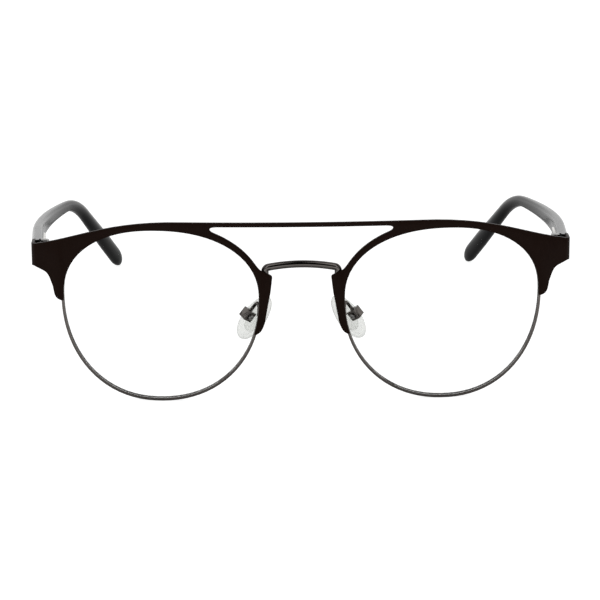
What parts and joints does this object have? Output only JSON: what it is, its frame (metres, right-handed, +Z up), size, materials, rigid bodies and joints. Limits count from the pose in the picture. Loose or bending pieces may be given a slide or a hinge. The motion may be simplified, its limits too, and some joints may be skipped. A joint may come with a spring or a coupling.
{
  "type": "eyeglass frame",
  "caption": "Round metal eyeglass frame: brow plate with top bar over a wire bridge, thin rims with clear lenses, nose pads and folding spring-hinged temples.",
  "frame": {"origin": "under the middle of the frame, at the centre of its box, level with the lowest points of rims and temple tips", "axes": "+Z up, as the frame stands open on a table; the front faces -Y and the temples run back along +Y; +X is the wearer's left"},
  "size_m": [0.142, 0.141, 0.0473],
  "materials": {
    "dark_paint": "satin, very dark brown",
    "gunmetal": "dark grey plating, half polished",
    "clear_lens": "clear and polished",
    "screw_steel": "plain turned steel",
    "clear_plastic": "clear, a little cloudy",
    "clear_silicone": "clear and soft, faintly green",
    "hinge_steel": "bright, brushed",
    "black_plastic": "glossy black"
  },
  "bodies": {
    "front": {"brow_plate": "dark_paint", "lower_bridge": "gunmetal", "rim_left": "gunmetal", "rim_right": "gunmetal", "lens_left": "clear_lens", "lens_right": "clear_lens", "closing_block_left": "gunmetal", "closing_block_right": "gunmetal", "closing_screw_left": "screw_steel", "closing_screw_right": "screw_steel", "pad_arm_left": "gunmetal", "pad_arm_right": "gunmetal", "pad_box_left": "gunmetal", "pad_box_right": "gunmetal", "pad_screw_left": "screw_steel", "pad_screw_right": "screw_steel", "front_hinge_left": "hinge_steel", "front_hinge_right": "hinge_steel"},
    "hinge_left": {"hinge_screw_left": "screw_steel"},
    "slider_left": {"spring_slider_left": "hinge_steel", "spring_nut_left": "screw_steel", "coil_spring_left": "screw_steel"},
    "temple_body_left": {"temple_left": "black_plastic", "temple_core_left": "hinge_steel", "spring_housing_left": "hinge_steel"},
    "pad_body_left": {"nose_pad_left": "clear_silicone", "pad_insert_left": "clear_plastic"},
    "hinge_right": {"hinge_screw_right": "screw_steel"},
    "slider_right": {"spring_slider_right": "hinge_steel", "spring_nut_right": "screw_steel", "coil_spring_right": "screw_steel"},
    "temple_body_right": {"temple_right": "black_plastic", "temple_core_right": "hinge_steel", "spring_housing_right": "hinge_steel"},
    "pad_body_right": {"nose_pad_right": "clear_silicone", "pad_insert_right": "clear_plastic"}
  },
  "joints": [
    {"name": "temple_flex_left", "type": "hinge", "parent": "front", "child": "hinge_left", "pos_m": [0.0656, -0.05707, 0.03778], "axis": [0, 0, 1], "range_deg": [-12, 0], "stiffness_Nm_per_rad": 0.5},
    {"name": "temple_fold_left", "type": "hinge", "parent": "hinge_left", "child": "slider_left", "pos_m": [0.0656, -0.05707, 0.03778], "axis": [0, 0, 1], "range_deg": [0, 85]},
    {"name": "spring_slide_left", "type": "slide", "parent": "slider_left", "child": "temple_body_left", "axis": [0.0694, 0.9926, -0.0993], "range_m": [0, 0.0008], "deforming": ["coil_spring_left"]},
    {"name": "pad_rock_left", "type": "hinge", "parent": "front", "child": "pad_body_left", "pos_m": [0.01375, -0.06338, 0.02155], "axis": [0.4917, 0.788, 0.3705], "range_deg": [-10, 10]},
    {"name": "temple_flex_right", "type": "hinge", "parent": "front", "child": "hinge_right", "pos_m": [-0.0656, -0.05707, 0.03778], "axis": [0, 0, -1], "range_deg": [-12, 0], "stiffness_Nm_per_rad": 0.5},
    {"name": "temple_fold_right", "type": "hinge", "parent": "hinge_right", "child": "slider_right", "pos_m": [-0.0656, -0.05707, 0.03778], "axis": [0, 0, -1], "range_deg": [0, 79]},
    {"name": "spring_slide_right", "type": "slide", "parent": "slider_right", "child": "temple_body_right", "axis": [-0.0694, 0.9926, -0.0993], "range_m": [0, 0.0008], "deforming": ["coil_spring_right"]},
    {"name": "pad_rock_right", "type": "hinge", "parent": "front", "child": "pad_body_right", "pos_m": [-0.01375, -0.06338, 0.02155], "axis": [0.4917, -0.788, -0.3705], "range_deg": [-10, 10]}
  ],
  "couplings": [
    {"joint": "spring_slide_left", "follows": "temple_flex_left", "m_per_rad": -0.0036},
    {"joint": "spring_slide_right", "follows": "temple_flex_right", "m_per_rad": -0.0036}
  ]
}
